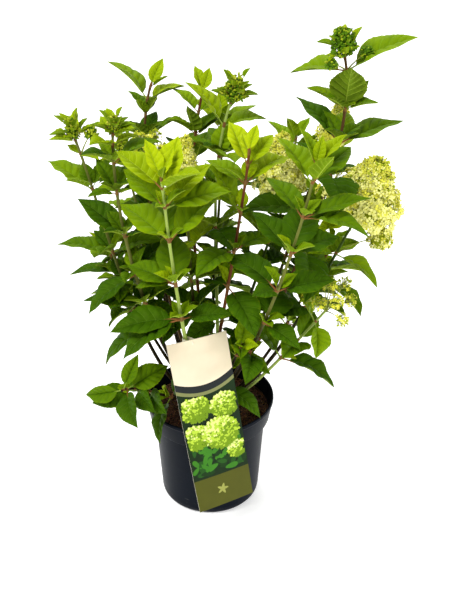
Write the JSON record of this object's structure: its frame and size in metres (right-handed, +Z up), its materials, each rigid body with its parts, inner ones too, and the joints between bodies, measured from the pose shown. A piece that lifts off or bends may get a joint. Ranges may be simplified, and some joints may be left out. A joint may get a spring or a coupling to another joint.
{
  "type": "potted panicle hydrangea",
  "caption": "A leafy shrub with upright stems, whorled pointed leaves and cone-shaped lime flower heads, in a round tapered plastic nursery pot with a hanging label",
  "frame": {"origin": "middle of the flat underside of the pot, where it stands", "axes": "+Z up along the pot's axis and the plant's height, +X to the right and -Y towards the side with the label"},
  "size_m": [0.4892, 0.4254, 0.7249],
  "materials": {
    "label": "printed plastic card",
    "limb_back_left": "thin reddish brown young bark",
    "limb_back_left_tall": "thin reddish brown young bark",
    "limb_back_middle": "thin reddish brown young bark",
    "limb_back_middle_tall": "thin reddish brown young bark",
    "limb_back_right": "thin reddish brown young bark",
    "limb_back_right_head": "thin reddish brown young bark",
    "limb_far_left": "thin reddish brown young bark",
    "limb_front_left": "thin reddish brown young bark",
    "limb_front_low": "thin reddish brown young bark",
    "limb_front_right": "thin reddish brown young bark",
    "limb_left_arch": "thin reddish brown young bark",
    "limb_left_bud": "thin reddish brown young bark",
    "limb_left_head": "thin reddish brown young bark",
    "limb_low_back_left": "thin reddish brown young bark",
    "limb_low_left": "thin reddish brown young bark",
    "limb_low_right": "thin reddish brown young bark",
    "limb_low_right_sprays": "thin reddish brown young bark",
    "limb_middle_bud": "thin reddish brown young bark",
    "limb_middle_head": "thin reddish brown young bark",
    "limb_middle_red": "thin reddish brown young bark",
    "limb_right_head": "thin reddish brown young bark",
    "limb_right_tall": "thin reddish brown young bark",
    "mass_back_left": "soft green leaves with fine toothed edges",
    "mass_back_left_tall": "soft green leaves with fine toothed edges",
    "mass_back_middle": "soft green leaves with fine toothed edges",
    "mass_back_middle_tall": "soft green leaves with fine toothed edges",
    "mass_back_right": "soft green leaves with fine toothed edges",
    "mass_back_right_head": "soft green leaves with fine toothed edges",
    "mass_far_left": "soft green leaves with fine toothed edges",
    "mass_front_left": "soft green leaves with fine toothed edges",
    "mass_front_low": "soft green leaves with fine toothed edges",
    "mass_front_right": "soft green leaves with fine toothed edges",
    "mass_left_arch": "soft green leaves with fine toothed edges",
    "mass_left_bud": "soft green leaves with fine toothed edges",
    "mass_left_head": "soft green leaves with fine toothed edges",
    "mass_low_back_left": "soft green leaves with fine toothed edges",
    "mass_low_left": "soft green leaves with fine toothed edges",
    "mass_low_right": "soft green leaves with fine toothed edges",
    "mass_low_right_sprays": "soft green leaves with fine toothed edges",
    "mass_middle_bud": "soft green leaves with fine toothed edges",
    "mass_middle_head": "soft green leaves with fine toothed edges",
    "mass_middle_red": "soft green leaves with fine toothed edges",
    "mass_right_head": "soft green leaves with fine toothed edges",
    "mass_right_tall": "soft green leaves with fine toothed edges",
    "pot": "dark grey moulded plastic with a slight sheen",
    "soil": "moist peat and coir fibre",
    "stump": "short woody base with flaking bark"
  },
  "bodies": {
    "root": {"label": "label", "limb_back_left": "limb_back_left", "limb_back_left_tall": "limb_back_left_tall", "limb_back_middle": "limb_back_middle", "limb_back_middle_tall": "limb_back_middle_tall", "limb_back_right": "limb_back_right", "limb_back_right_head": "limb_back_right_head", "limb_far_left": "limb_far_left", "limb_front_left": "limb_front_left", "limb_front_low": "limb_front_low", "limb_front_right": "limb_front_right", "limb_left_arch": "limb_left_arch", "limb_left_bud": "limb_left_bud", "limb_left_head": "limb_left_head", "limb_low_back_left": "limb_low_back_left", "limb_low_left": "limb_low_left", "limb_low_right": "limb_low_right", "limb_low_right_sprays": "limb_low_right_sprays", "limb_middle_bud": "limb_middle_bud", "limb_middle_head": "limb_middle_head", "limb_middle_red": "limb_middle_red", "limb_right_head": "limb_right_head", "limb_right_tall": "limb_right_tall", "mass_back_left": "mass_back_left", "mass_back_left_tall": "mass_back_left_tall", "mass_back_middle": "mass_back_middle", "mass_back_middle_tall": "mass_back_middle_tall", "mass_back_right": "mass_back_right", "mass_back_right_head": "mass_back_right_head", "mass_far_left": "mass_far_left", "mass_front_left": "mass_front_left", "mass_front_low": "mass_front_low", "mass_front_right": "mass_front_right", "mass_left_arch": "mass_left_arch", "mass_left_bud": "mass_left_bud", "mass_left_head": "mass_left_head", "mass_low_back_left": "mass_low_back_left", "mass_low_left": "mass_low_left", "mass_low_right": "mass_low_right", "mass_low_right_sprays": "mass_low_right_sprays", "mass_middle_bud": "mass_middle_bud", "mass_middle_head": "mass_middle_head", "mass_middle_red": "mass_middle_red", "mass_right_head": "mass_right_head", "mass_right_tall": "mass_right_tall", "pot": "pot", "soil": "soil", "stump": "stump"}
  },
  "joints": []
}
